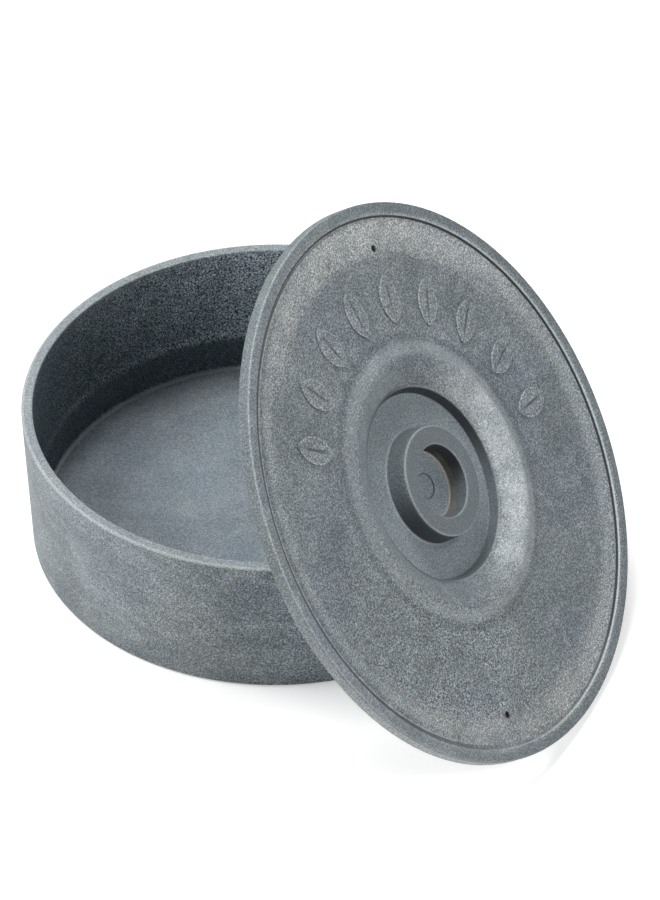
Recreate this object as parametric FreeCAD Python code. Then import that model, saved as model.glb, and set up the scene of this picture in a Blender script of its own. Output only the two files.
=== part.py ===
import FreeCAD, Part
import math
import os

# Round tortilla warmer: a straight-sided bowl with a flat rim, and a loose lid with a ring knob in a well.
# Units are millimetres, +Z is up, and the origin is the centre of the bowl's underside.
# The lid is drawn lying flat with its lip at height 0, then stood on its edge against the bowl's rim.

# Bowl
RIM_RADIUS = 105.0
BOWL_HEIGHT = 66.0
BOWL_DRAFT = 3.0  # how much narrower the base is than the rim, on the radius
BOWL_WALL = 4.7
FLOOR_THICKNESS = 5.0
RIM_BEVEL = 0.8
INNER_RIM_BEVEL = 0.4
BASE_BEVEL = 1.2
FLOOR_CORNER_BEVEL = 2.0

# Lid plate
LID_RADIUS = 115.0
LIP_WIDTH = 3.5
LIP_BEVEL_WIDTH = 1.6
LIP_BEVEL_DROP = 0.5
STEP_DRAFT = 0.5
FIELD_DROP_AT_STEP = 1.6
FIELD_DROP = 2.2
CREASE_RADIUS = 100.4
EDGE_DEPTH = 5.2
EDGE_BEVEL = 0.4
PLATE_THICKNESS = 4.2

# Bead and round well in the middle of the lid
BEAD_OUTER_RADIUS = 59.0
BEAD_FOOT_ROUND = 5.0
BEAD_CREST_RADIUS = 50.7
BEAD_CREST_DROP = 0.1
BEAD_CREST_ROUND = 4.5
FUNNEL_SHOULDER_RADIUS = 44.6
FUNNEL_SHOULDER_DROP = 2.3
FUNNEL_ROUND = 6.0
WELL_MOUTH_RADIUS = 40.0
WELL_MOUTH_DROP = 5.8
WELL_FLOOR_RADIUS = 38.1
WELL_FLOOR_DROP = 9.9
WELL_WALL = 2.6
WELL_FLOOR_THICKNESS = 2.9
WELL_UNDERSIDE_BEVEL = 1.2

# Ring knob
KNOB_FOOT_RADIUS = 23.7
KNOB_TOP_RADIUS = 22.7
KNOB_TOP_DROP = 0.9
BORE_MOUTH_RADIUS = 15.1
BORE_FLOOR_RADIUS = 14.3
KNOB_BEVEL = 0.5
GATE_MARK_RADIUS = 5.0
GATE_MARK_DEPTH = 0.4

# Locating ring under the lid, which drops inside the bowl's rim when the lid is on
LOCATING_CLEARANCE = 1.2
LOCATING_RING_WIDTH = 3.0
LOCATING_RING_DEPTH = 4.5
LOCATING_RING_DRAFT = 0.4
LOCATING_RING_BEVEL = 0.6
STEAM_GAP_WIDTH = 10.0

# Two vent holes, opposite each other; the locating ring is left open at each for the steam
VENT_RADIUS = 1.5
VENT_CIRCLE_RADIUS = 96.7
VENT_ANGLE = 60.5

# Row of raised leaves on the lid's field, centred on the first vent
LEAF_COUNT = 9
LEAF_PITCH_ANGLE = 18.1
LEAF_CIRCLE_RADIUS = 75.4
LEAF_LENGTH = 20.4
LEAF_WIDTH = 11.5
LEAF_HEIGHT = 1.0
LEAF_BEVEL = 0.4
VEIN_WIDTH = 1.3
VEIN_LENGTH = 14.0
VEIN_DEPTH = 0.6

# How the lid stands at rest, on the table and against the rim
LID_TILT = 53.94  # from lying flat
LID_TURN = 66.66  # about the vertical
LID_SIDEWAYS = -51.0
REST_CLEARANCE = 0.1
PLACING_TOLERANCE = 0.01
RIM_STEPS = 1440

# Depth the leaves and holes reach past a surface so that the solids join or cut cleanly
OVERLAP = 1.0

# How far an edge may lie below a leaf's top and still count as one of its edges
EDGE_TOLERANCE = 0.01

INNER_RIM_RADIUS = RIM_RADIUS - BOWL_WALL
UNDERSIDE_DROP = FIELD_DROP + PLATE_THICKNESS
WELL_UNDERSIDE_DROP = WELL_FLOOR_DROP + WELL_FLOOR_THICKNESS


class Corner:
    """One corner of an outline, at a radius and a height, left sharp, rounded or bevelled."""

    def __init__(self, radius, height, rounding=0.0, bevel=0.0):
        self.point = FreeCAD.Vector(radius, 0.0, height)
        self.rounding = rounding
        self.bevel = bevel

    def eased(self, before, after):
        """Return where the corner starts and ends, and the edge that eases it, if any."""
        if not (self.rounding or self.bevel):
            return self.point, self.point, []
        to_before = (before - self.point).normalize()
        to_after = (after - self.point).normalize()
        if self.bevel:
            start = self.point + to_before * self.bevel
            end = self.point + to_after * self.bevel
            return start, end, [Part.makeLine(start, end)]
        half_angle = to_before.getAngle(to_after) / 2.0
        reach = self.rounding / math.tan(half_angle)
        start = self.point + to_before * reach
        end = self.point + to_after * reach
        inward = (to_before + to_after).normalize()
        middle = self.point + inward * (self.rounding / math.sin(half_angle) - self.rounding)
        return start, end, [Part.Arc(start, middle, end).toShape()]


def outline(corners):
    """Return a closed wire in the XZ plane through a list of corners."""
    count = len(corners)
    starts, ends, edges = [], [], []
    for index, corner in enumerate(corners):
        before = corners[index - 1].point
        after = corners[(index + 1) % count].point
        start, end, easing = corner.eased(before, after)
        starts.append(start)
        ends.append(end)
        edges += easing
    edges += [Part.makeLine(ends[index - 1], starts[index]) for index in range(count)]
    return Part.Wire(Part.__sortEdges__(edges))


def turned(corners):
    """Return the solid made by turning an outline once round the Z axis."""
    face = Part.Face(outline(corners))
    return face.revolve(FreeCAD.Vector(0, 0, 0), FreeCAD.Vector(0, 0, 1), 360)


def bowl():
    """Bowl with drafted walls of even thickness and a flat rim."""
    draft_per_height = BOWL_DRAFT / BOWL_HEIGHT
    base_radius = RIM_RADIUS - BOWL_DRAFT
    floor_radius = INNER_RIM_RADIUS - draft_per_height * (BOWL_HEIGHT - FLOOR_THICKNESS)
    return turned([
        Corner(0.0, 0.0),
        Corner(base_radius, 0.0, bevel=BASE_BEVEL),
        Corner(RIM_RADIUS, BOWL_HEIGHT, bevel=RIM_BEVEL),
        Corner(INNER_RIM_RADIUS, BOWL_HEIGHT, bevel=INNER_RIM_BEVEL),
        Corner(floor_radius, FLOOR_THICKNESS, bevel=FLOOR_CORNER_BEVEL),
        Corner(0.0, FLOOR_THICKNESS),
    ])


def lid_top_corners():
    """Upper side of the lid from the lip inwards to the knob's bore."""
    bevel_radius = LID_RADIUS - LIP_WIDTH - LIP_BEVEL_WIDTH
    return [
        Corner(LID_RADIUS, 0.0, bevel=EDGE_BEVEL),
        Corner(LID_RADIUS - LIP_WIDTH, 0.0),
        Corner(bevel_radius, -LIP_BEVEL_DROP),
        Corner(bevel_radius - STEP_DRAFT, -FIELD_DROP_AT_STEP),
        Corner(CREASE_RADIUS, -FIELD_DROP),
        Corner(BEAD_OUTER_RADIUS, -FIELD_DROP, rounding=BEAD_FOOT_ROUND),
        Corner(BEAD_CREST_RADIUS, -BEAD_CREST_DROP, rounding=BEAD_CREST_ROUND),
        Corner(FUNNEL_SHOULDER_RADIUS, -FUNNEL_SHOULDER_DROP, rounding=FUNNEL_ROUND),
        Corner(WELL_MOUTH_RADIUS, -WELL_MOUTH_DROP),
        Corner(WELL_FLOOR_RADIUS, -WELL_FLOOR_DROP),
        Corner(KNOB_FOOT_RADIUS, -WELL_FLOOR_DROP),
        Corner(KNOB_TOP_RADIUS, -KNOB_TOP_DROP, bevel=KNOB_BEVEL),
        Corner(BORE_MOUTH_RADIUS, -KNOB_TOP_DROP, bevel=KNOB_BEVEL),
        Corner(BORE_FLOOR_RADIUS, -WELL_FLOOR_DROP),
        Corner(GATE_MARK_RADIUS, -WELL_FLOOR_DROP),
        Corner(GATE_MARK_RADIUS, -WELL_FLOOR_DROP - GATE_MARK_DEPTH),
        Corner(0.0, -WELL_FLOOR_DROP - GATE_MARK_DEPTH),
    ]


def lid_underside_corners():
    """Underside of the lid from the middle outwards to the lip's lower edge."""
    ring_outer = INNER_RIM_RADIUS - LOCATING_CLEARANCE
    ring_inner = ring_outer - LOCATING_RING_WIDTH
    ring_bottom = UNDERSIDE_DROP + LOCATING_RING_DEPTH
    edge_chamfer = UNDERSIDE_DROP - EDGE_DEPTH
    return [
        Corner(0.0, -WELL_UNDERSIDE_DROP),
        Corner(WELL_FLOOR_RADIUS + WELL_WALL, -WELL_UNDERSIDE_DROP, bevel=WELL_UNDERSIDE_BEVEL),
        Corner(WELL_MOUTH_RADIUS + WELL_WALL, -WELL_MOUTH_DROP - WELL_WALL),
        Corner(BEAD_CREST_RADIUS, -UNDERSIDE_DROP),
        Corner(ring_inner, -UNDERSIDE_DROP),
        Corner(ring_inner + LOCATING_RING_DRAFT, -ring_bottom, bevel=LOCATING_RING_BEVEL),
        Corner(ring_outer - LOCATING_RING_DRAFT, -ring_bottom, bevel=LOCATING_RING_BEVEL),
        Corner(ring_outer, -UNDERSIDE_DROP),
        Corner(LID_RADIUS - edge_chamfer, -UNDERSIDE_DROP),
        Corner(LID_RADIUS, -EDGE_DEPTH),
    ]


def leaf():
    """One pointed leaf along +Y from the lid's middle, standing on the field, with a vein cut in it."""
    half_length = LEAF_LENGTH / 2.0
    half_width = LEAF_WIDTH / 2.0
    foot = -FIELD_DROP - OVERLAP
    top = -FIELD_DROP + LEAF_HEIGHT
    inner_tip = FreeCAD.Vector(0.0, LEAF_CIRCLE_RADIUS - half_length, foot)
    outer_tip = FreeCAD.Vector(0.0, LEAF_CIRCLE_RADIUS + half_length, foot)
    sides = []
    for side in (1.0, -1.0):
        belly = FreeCAD.Vector(side * half_width, LEAF_CIRCLE_RADIUS, foot)
        sides.append(Part.Arc(inner_tip, belly, outer_tip).toShape())
    body = Part.Face(Part.Wire(sides)).extrude(FreeCAD.Vector(0, 0, top - foot))
    rim = [edge for edge in body.Edges if edge.BoundBox.ZMin > top - EDGE_TOLERANCE]
    body = body.makeChamfer(LEAF_BEVEL, rim)
    vein = Part.makeBox(
        VEIN_WIDTH,
        VEIN_LENGTH,
        VEIN_DEPTH + OVERLAP,
        FreeCAD.Vector(-VEIN_WIDTH / 2.0, LEAF_CIRCLE_RADIUS - VEIN_LENGTH / 2.0, top - VEIN_DEPTH),
    )
    return body.cut(vein)


def leaf_row():
    """Row of leaves round the lid, centred on the first vent."""
    middle = (LEAF_COUNT - 1) / 2.0
    leaves = []
    for index in range(LEAF_COUNT):
        angle = VENT_ANGLE - 90.0 + (index - middle) * LEAF_PITCH_ANGLE
        placed = leaf()
        placed.rotate(FreeCAD.Vector(0, 0, 0), FreeCAD.Vector(0, 0, 1), angle)
        leaves.append(placed)
    return leaves


def vent_cutters():
    """Cutters for the two vents and for the gap in the locating ring under each."""
    foot = FreeCAD.Vector(VENT_CIRCLE_RADIUS, 0.0, -UNDERSIDE_DROP - OVERLAP)
    vent = Part.makeCylinder(VENT_RADIUS, UNDERSIDE_DROP + 2.0 * OVERLAP, foot)
    gap_length = 4.0 * LOCATING_RING_WIDTH
    gap_corner = FreeCAD.Vector(
        INNER_RIM_RADIUS - gap_length,
        -STEAM_GAP_WIDTH / 2.0,
        -UNDERSIDE_DROP - LOCATING_RING_DEPTH - OVERLAP,
    )
    gap = Part.makeBox(gap_length, STEAM_GAP_WIDTH, LOCATING_RING_DEPTH + OVERLAP, gap_corner)
    cutters = []
    for angle in (VENT_ANGLE, VENT_ANGLE + 180.0):
        for cutter in (vent, gap):
            placed = cutter.copy()
            placed.rotate(FreeCAD.Vector(0, 0, 0), FreeCAD.Vector(0, 0, 1), angle)
            cutters.append(placed)
    return cutters


def underside_drop_at(radius):
    """Return how far the lid's underside lies below the lip's plane at a radius."""
    corners = lid_underside_corners()
    for inner, outer in zip(corners, corners[1:]):
        if inner.point.x <= radius <= outer.point.x:
            share = (radius - inner.point.x) / (outer.point.x - inner.point.x)
            return -(inner.point.z + share * (outer.point.z - inner.point.z))
    return 0.0


def leaning_place(standoff):
    """Return where the lid stands on its lower edge with the rim this far behind the lip's plane."""
    lean = math.radians(LID_TILT)
    height = LID_RADIUS * math.sin(lean) + EDGE_DEPTH * math.cos(lean)
    rim_reach = RIM_RADIUS * math.sin(lean) + BOWL_HEIGHT * math.cos(lean)
    reach = (rim_reach + standoff - height * math.cos(lean)) / math.sin(lean)
    tilt = FreeCAD.Rotation(FreeCAD.Vector(1, 0, 0), LID_TILT)
    turn = FreeCAD.Rotation(FreeCAD.Vector(0, 0, 1), LID_TURN)
    centre = turn.multVec(FreeCAD.Vector(LID_SIDEWAYS, -reach, height))
    return FreeCAD.Placement(centre, turn.multiply(tilt))


def clear_of_rim(place):
    """Tell whether the lid's underside keeps its clearance from the outer edge of the bowl's rim."""
    to_lid = place.inverse()
    edges = [(RIM_RADIUS, BOWL_HEIGHT - RIM_BEVEL), (RIM_RADIUS - RIM_BEVEL, BOWL_HEIGHT)]
    for radius, height in edges:
        for step in range(RIM_STEPS):
            angle = 2.0 * math.pi * step / RIM_STEPS
            point = to_lid.multVec(FreeCAD.Vector(radius * math.cos(angle), radius * math.sin(angle), height))
            distance = math.hypot(point.x, point.y)
            nearby = (distance - REST_CLEARANCE, distance, distance + REST_CLEARANCE)
            deepest = max(underside_drop_at(each) for each in nearby)
            if distance < LID_RADIUS and -point.z < deepest + REST_CLEARANCE:
                return False
    return True


def standing_place():
    """Return where the lid stands: on its lower edge, as close to the rim as its clearance allows."""
    touching, clear = 0.0, LID_RADIUS
    while clear - touching > PLACING_TOLERANCE:
        middle = (touching + clear) / 2.0
        if clear_of_rim(leaning_place(middle)):
            clear = middle
        else:
            touching = middle
    return leaning_place(clear)


def lid():
    """Lid with its knob, vents, leaves and locating ring, stood in its place at rest."""
    body = turned(lid_top_corners() + lid_underside_corners())
    body = body.fuse(leaf_row())
    body = body.cut(Part.makeCompound(vent_cutters()))
    body = body.removeSplitter()
    solid = body.Solids[0]
    solid.Placement = standing_place().multiply(solid.Placement)
    return solid


def main():
    """Build every piece and write one STEP file for each."""
    os.makedirs("parts", exist_ok=True)
    pieces = {"bowl": bowl(), "lid": lid()}
    for name, shape in pieces.items():
        shape.exportStep("parts/" + name + ".step")


main()
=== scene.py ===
"""Stone-grey tortilla warmer: a moulded bowl, and its loose lid stood on edge against the rim.

Lengths are in metres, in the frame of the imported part: +Z is up and the origin is the centre of the bowl's
underside. The lid's own frame has its origin in the middle of its lip's plane, with +Z out of its upper side.
"""

import logging
import math
from dataclasses import dataclass
from enum import Enum
from typing import Optional, Union

import bmesh
import bpy
from bmesh.types import BMesh, BMVert
from mathutils import Euler, Matrix, Vector


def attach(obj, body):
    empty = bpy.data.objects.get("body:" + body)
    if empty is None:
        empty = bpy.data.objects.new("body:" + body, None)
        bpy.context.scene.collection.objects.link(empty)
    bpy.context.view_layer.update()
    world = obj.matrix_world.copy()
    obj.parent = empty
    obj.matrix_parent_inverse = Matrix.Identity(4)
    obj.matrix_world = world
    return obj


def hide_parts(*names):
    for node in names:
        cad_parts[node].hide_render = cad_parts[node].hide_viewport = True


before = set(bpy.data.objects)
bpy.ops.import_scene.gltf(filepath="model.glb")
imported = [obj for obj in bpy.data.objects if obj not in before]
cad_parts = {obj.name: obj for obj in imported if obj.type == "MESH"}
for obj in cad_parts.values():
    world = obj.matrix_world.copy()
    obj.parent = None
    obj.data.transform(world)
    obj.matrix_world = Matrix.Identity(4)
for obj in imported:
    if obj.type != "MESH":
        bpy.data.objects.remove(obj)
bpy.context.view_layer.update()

log = logging.getLogger("tortilla_warmer")

Colour = tuple[float, float, float]
Place = tuple[float, float, float]
Socket = bpy.types.NodeSocket
Sockets = Union[bpy.types.NodeInputs, bpy.types.NodeOutputs]
Source = Union[Socket, float, Colour, Vector, Euler]

WHITE: Colour = (1.0, 1.0, 1.0)

# The vector sums that give a number.
NUMBER_RESULTS = ("DISTANCE", "DOT_PRODUCT", "LENGTH")

# The value about which a noise varies.
NOISE_MIDDLE = 0.5

# Edges that turn by more than this are shaded sharp.
SHARP_ANGLE = math.radians(32.0)

# A radius below this lies on the axis.
NEARLY_NOTHING = 1e-7

# How far a cutter or a zone runs on past a surface, to take in all of it or to keep clear of the next one.
BEYOND = 0.001


class Body(Enum):
    """The part's moving bodies."""

    BOWL = "bowl"
    LID = "lid"


class Slot(Enum):
    """The record's material slot names, which the script doesn't use."""

    BOWL = "bowl_plastic"
    LID = "lid_plastic"


class Mark(Enum):
    """Marks that a mesh carries on its points, from 0 to 1, where a finish shows wear or painted shade."""

    WORN = "worn"
    # Painted shade at the feet of the leaves and in their veins.
    PAINTED_SHADE = "dirt"


class Kind(Enum):
    """Kinds of socket that a shared effect has."""

    NUMBER = "NodeSocketFloat"
    VECTOR = "NodeSocketVector"


# ------------------------------------------------------------------------------
# Turned meshes
# ------------------------------------------------------------------------------


@dataclass(frozen=True)
class Corner:
    """One corner of a turned outline: its radius and height, and how far it is rounded."""

    radius: float
    height: float
    rounding: float = 0.0

    @property
    def point(self) -> Vector:
        """The corner as a point of the outline's plane."""
        return Vector((self.radius, self.height))

    def eased(self, before: Vector, after: Vector, step_angle: float) -> list[Vector]:
        """Work out the points that stand for this corner once it is rounded.

        Args:
            before: the corner before this one.
            after: the corner after this one.
            step_angle: the turn that one facet of the rounding may take.

        Returns:
            The corner itself if it is sharp, or the points of the arc that rounds it.
        """
        if self.rounding <= 0.0:
            return [self.point]
        to_before = (before - self.point).normalized()
        to_after = (after - self.point).normalized()
        half_angle = to_before.angle(to_after) / 2.0
        inward = (to_before + to_after).normalized()
        centre = self.point + inward * (self.rounding / math.sin(half_angle))
        start = self.point + to_before * (self.rounding / math.tan(half_angle)) - centre
        end = self.point + to_after * (self.rounding / math.tan(half_angle)) - centre
        sweep = start.angle_signed(end)
        steps = max(2, math.ceil(abs(sweep) / step_angle))
        arc = []
        for step in range(steps + 1):
            turn = -sweep * step / steps
            arc.append(centre + Matrix.Rotation(turn, 2) @ start)
        return arc


@dataclass(frozen=True)
class Turning:
    """A solid turned round the Z axis from an outline that starts and ends on the axis.

    A run of the outline that is longer than so many edge holds gets a further point one edge hold from
    each of its ends, which keeps its shading flat.
    """

    corners: tuple[Corner, ...]
    segments: int = 288
    step_angle: float = math.radians(15.0)
    edge_hold: float = 0.00025
    holds_in_long_run: float = 6.0

    def outline(self) -> list[Vector]:
        """Work out the outline's points.

        Returns:
            The points, with the corners rounded and the long runs held flat.
        """
        runs: list[list[Vector]] = []
        last = len(self.corners) - 1
        for index, corner in enumerate(self.corners):
            before = self.corners[max(index - 1, 0)].point
            after = self.corners[min(index + 1, last)].point
            runs.append(corner.eased(before, after, self.step_angle))
        points = list(runs[0])
        for run in runs[1:]:
            start, end = points[-1], run[0]
            length = (end - start).length
            if length > self.holds_in_long_run * self.edge_hold:
                along = (end - start) / length
                points += [start + along * self.edge_hold, end - along * self.edge_hold]
            points += run
        return points

    def ring(self, mesh: BMesh, point: Vector) -> list[BMVert]:
        """Add the ring that one point of the outline sweeps.

        Args:
            mesh: the mesh that takes the ring.
            point: the point of the outline.

        Returns:
            The ring's vertices, or a single one if the point is on the axis.
        """
        if point.x < NEARLY_NOTHING:
            return [mesh.verts.new((0.0, 0.0, point.y))]
        verts = []
        for segment in range(self.segments):
            turn = 2.0 * math.pi * segment / self.segments
            verts.append(mesh.verts.new((point.x * math.cos(turn), point.x * math.sin(turn), point.y)))
        return verts

    def add_to(self, mesh: BMesh) -> None:
        """Add the turned solid to a mesh.

        Args:
            mesh: the mesh that takes the solid.
        """
        rings = [self.ring(mesh, point) for point in self.outline()]
        for lower, upper in zip(rings, rings[1:]):
            for segment in range(self.segments):
                following = (segment + 1) % self.segments
                around = [
                    lower[segment % len(lower)],
                    lower[following % len(lower)],
                    upper[following % len(upper)],
                    upper[segment % len(upper)],
                ]
                mesh.faces.new(list(dict.fromkeys(around)))


def finish_mesh(mesh: BMesh, name: str) -> bpy.types.Object:
    """Make an object of a mesh.

    Args:
        mesh: the mesh, which is freed.
        name: the object's name.

    Returns:
        The new object, linked into the scene.
    """
    bmesh.ops.recalc_face_normals(mesh, faces=mesh.faces[:])
    data = bpy.data.meshes.new(name)
    mesh.to_mesh(data)
    mesh.free()
    piece = bpy.data.objects.new(name, data)
    bpy.context.scene.collection.objects.link(piece)
    return piece


def shade(piece: bpy.types.Object) -> None:
    """Shade a piece smooth, and leave its edges sharp where the surface turns sharply.

    Args:
        piece: the piece, whose mesh is changed.
    """
    mesh = bmesh.new()
    mesh.from_mesh(piece.data)
    for face in mesh.faces:
        face.smooth = True
    for edge in mesh.edges:
        edge.smooth = len(edge.link_faces) == 2 and edge.calc_face_angle(0.0) < SHARP_ANGLE
    mesh.to_mesh(piece.data)
    mesh.free()


def cut(piece: bpy.types.Object, cutters: list[bpy.types.Object]) -> None:
    """Cut closed cutters out of a closed piece.

    Args:
        piece: the piece, whose mesh is replaced.
        cutters: the cutters, which are removed.
    """
    for cutter in cutters:
        modifier = piece.modifiers.new(cutter.name, "BOOLEAN")
        modifier.operation = "DIFFERENCE"
        modifier.solver = "EXACT"
        modifier.object = cutter
    graph = bpy.context.evaluated_depsgraph_get()
    result = bpy.data.meshes.new_from_object(piece.evaluated_get(graph))
    piece.modifiers.clear()
    piece.data = result
    for cutter in cutters:
        bpy.data.objects.remove(cutter)


# ------------------------------------------------------------------------------
# Shading
# ------------------------------------------------------------------------------


class Bench:
    """Wires nodes into one node tree with short calls."""

    def __init__(self, tree: bpy.types.NodeTree) -> None:
        """Work on a tree."""
        self.tree = tree

    @classmethod
    def of(cls, owner: Union[bpy.types.Material, bpy.types.World]) -> "Bench":
        """Start afresh on the nodes of a material or a world.

        Args:
            owner: the material or the world, which loses the nodes it has.

        Returns:
            The bench.
        """
        owner.use_nodes = True
        owner.node_tree.nodes.clear()
        return cls(owner.node_tree)

    def add(self, kind: str, **settings: object) -> bpy.types.Node:
        """Add a node.

        Args:
            kind: the node's type.
            **settings: the node's plain properties.

        Returns:
            The new node.
        """
        node = self.tree.nodes.new(kind)
        for name, value in settings.items():
            setattr(node, name, value)
        return node

    def feed(self, socket: Socket, source: Source) -> None:
        """Link an output to an input, or set the input to a plain value.

        Args:
            socket: the input.
            source: an output, a number, a vector or a colour.
        """
        if isinstance(source, Socket):
            self.tree.links.new(source, socket)
        elif isinstance(source, tuple):
            socket.default_value = (*source, 1.0)
        else:
            socket.default_value = source

    def math(self, operation: str, first: Source, second: Source = 0.0) -> Socket:
        """Do a sum on two numbers.

        Args:
            operation: the kind of sum.
            first: the first number.
            second: the second number.

        Returns:
            The result's socket.
        """
        node = self.add("ShaderNodeMath", operation=operation)
        self.feed(node.inputs[0], first)
        self.feed(node.inputs[1], second)
        return node.outputs[0]

    def vector_math(self, operation: str, first: Source, second: Optional[Source] = None) -> Socket:
        """Do a sum on one vector or two.

        Args:
            operation: the kind of sum.
            first: the first vector.
            second: the second vector, if the sum takes one.

        Returns:
            The result's socket, which is a number or a vector.
        """
        node = self.add("ShaderNodeVectorMath", operation=operation)
        self.feed(node.inputs[0], first)
        if second is not None:
            self.feed(node.inputs[1], second)
        return node.outputs["Value" if operation in NUMBER_RESULTS else "Vector"]

    def scaled(self, vector: Source, factor: Source) -> Socket:
        """Scale a vector.

        Args:
            vector: the vector.
            factor: the number that it is multiplied by.

        Returns:
            The result's socket.
        """
        node = self.add("ShaderNodeVectorMath", operation="SCALE")
        self.feed(node.inputs[0], vector)
        self.feed(node.inputs["Scale"], factor)
        return node.outputs[0]

    def remap(
        self,
        value: Source,
        low: Source,
        high: Source,
        to_low: float = 0.0,
        to_high: float = 1.0,
    ) -> Socket:
        """Move a number smoothly from one range to another, and keep it there.

        Args:
            value: the number.
            low: the start of its range.
            high: the end of its range.
            to_low: what the start becomes.
            to_high: what the end becomes.

        Returns:
            The result's socket.
        """
        node = self.add("ShaderNodeMapRange", interpolation_type="SMOOTHSTEP")
        for socket, source in zip(node.inputs, (value, low, high, to_low, to_high)):
            self.feed(socket, source)
        return node.outputs[0]

    def blend(self, share: Source, first: Source, second: Source, mode: str = "MIX") -> Socket:
        """Blend two colours.

        Args:
            share: the second colour's share.
            first: the first colour.
            second: the second colour.
            mode: how the second colour is laid over the first.

        Returns:
            The result's socket.
        """
        node = self.add("ShaderNodeMix", data_type="RGBA", blend_type=mode)
        self.feed(node.inputs["Factor"], share)
        self.feed(node.inputs[6], first)
        self.feed(node.inputs[7], second)
        return node.outputs[2]

    def noise(self, vector: Source, size: Source, detail: float, roughness: float = 0.5) -> bpy.types.Node:
        """Add a noise.

        Args:
            vector: the point at which it is read.
            size: about how large its features are.
            detail: how many finer layers it has.
            roughness: how strong they are.

        Returns:
            The new node.
        """
        node = self.add("ShaderNodeTexNoise")
        self.feed(node.inputs["Vector"], vector)
        self.feed(node.inputs["Scale"], self.math("DIVIDE", 1.0, size))
        node.inputs["Detail"].default_value = detail
        node.inputs["Roughness"].default_value = roughness
        return node

    def place(self, group: bpy.types.NodeTree, **sources: Source) -> bpy.types.Node:
        """Place a shader group.

        Args:
            group: the group.
            **sources: what its inputs are fed, by name, with spaces written as underscores.

        Returns:
            The new node.
        """
        node = self.add("ShaderNodeGroup", node_tree=group)
        for name, source in sources.items():
            self.feed(node.inputs[name.replace("_", " ")], source)
        return node


class SharedEffect:
    """An effect that several finishes use: a shader group that is built once."""

    name = ""
    inputs: dict[str, Kind] = {}
    outputs: dict[str, Kind] = {}

    @classmethod
    def group(cls) -> bpy.types.NodeTree:
        """Build the effect's group the first time that it is asked for.

        Returns:
            The group.
        """
        known = bpy.data.node_groups.get(cls.name)
        if known is not None:
            return known
        tree = bpy.data.node_groups.new(cls.name, "ShaderNodeTree")
        for title, kind in cls.inputs.items():
            tree.interface.new_socket(name=title, in_out="INPUT", socket_type=kind.value)
        for title, kind in cls.outputs.items():
            tree.interface.new_socket(name=title, in_out="OUTPUT", socket_type=kind.value)
        given = tree.nodes.new("NodeGroupInput")
        result = tree.nodes.new("NodeGroupOutput")
        cls.wire(Bench(tree), given.outputs, result.inputs)
        return tree

    @classmethod
    def wire(cls, bench: Bench, given: Sockets, result: Sockets) -> None:
        """Wire the group from what it is given to its result."""
        raise NotImplementedError


class CloudMottling(SharedEffect):
    """Soft clouds and swirled flow marks, as plastic with a stone-coloured filler sets in its mould."""

    name = "cloud_mottling"
    inputs = {"Vector": Kind.VECTOR, "Cloud Size": Kind.NUMBER, "Swirl": Kind.NUMBER}
    outputs = {"Clouds": Kind.NUMBER, "Flow Marks": Kind.NUMBER}
    push_size = 2.3
    cloud_roughness = 0.66
    cloud_range = (0.34, 0.66)
    mark_size = 1.7
    mark_width = 0.03

    @classmethod
    def wire(cls, bench: Bench, given: Sockets, result: Sockets) -> None:
        """Wire noise that is pushed about by a larger noise.

        Args:
            bench: the group's bench.
            given: what the group is given.
            result: what the group puts out.
        """
        size = given["Cloud Size"]
        push_size = bench.math("MULTIPLY", size, cls.push_size)
        push = bench.noise(given["Vector"], push_size, detail=2.0).outputs["Color"]
        push = bench.vector_math("SUBTRACT", push, Vector([NOISE_MIDDLE] * 3))
        push = bench.scaled(push, bench.math("MULTIPLY", size, given["Swirl"]))
        swirled = bench.vector_math("ADD", given["Vector"], push)
        clouds = bench.noise(swirled, size, detail=8.0, roughness=cls.cloud_roughness).outputs["Fac"]
        bench.feed(result["Clouds"], bench.remap(clouds, *cls.cloud_range))
        mark_size = bench.math("MULTIPLY", size, cls.mark_size)
        marks = bench.noise(swirled, mark_size, detail=4.0).outputs["Fac"]
        ridge = bench.math("ABSOLUTE", bench.math("SUBTRACT", marks, NOISE_MIDDLE))
        bench.feed(result["Flow Marks"], bench.remap(ridge, cls.mark_width, 0.0))


class SandGrain(SharedEffect):
    """Fine sand grain: the relief of the mould's blasted face, and the bright specks that it shows."""

    name = "sand_grain"
    inputs = {"Vector": Kind.VECTOR, "Grain Size": Kind.NUMBER}
    outputs = {"Relief": Kind.NUMBER, "Specks": Kind.NUMBER}
    roughness = 0.6
    relief_range = (0.3, 0.7)
    speck_offset = (0.31, 0.17, 0.23)
    speck_size = 0.8
    own_share = 0.65
    relief_share = 0.35
    speck_range = (0.39, 0.69)

    @classmethod
    def wire(cls, bench: Bench, given: Sockets, result: Sockets) -> None:
        """Wire one noise into the relief, and another into specks that partly follow it.

        Args:
            bench: the group's bench.
            given: what the group is given.
            result: what the group puts out.
        """
        size = given["Grain Size"]
        fine = bench.noise(given["Vector"], size, detail=3.0, roughness=cls.roughness).outputs["Fac"]
        bench.feed(result["Relief"], bench.remap(fine, *cls.relief_range))
        moved = bench.vector_math("ADD", given["Vector"], Vector(cls.speck_offset))
        speck_size = bench.math("MULTIPLY", size, cls.speck_size)
        own = bench.noise(moved, speck_size, detail=2.0, roughness=cls.roughness).outputs["Fac"]
        own = bench.math("MULTIPLY", own, cls.own_share)
        both = bench.math("ADD", own, bench.math("MULTIPLY", fine, cls.relief_share))
        bench.feed(result["Specks"], bench.remap(both, *cls.speck_range))


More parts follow.
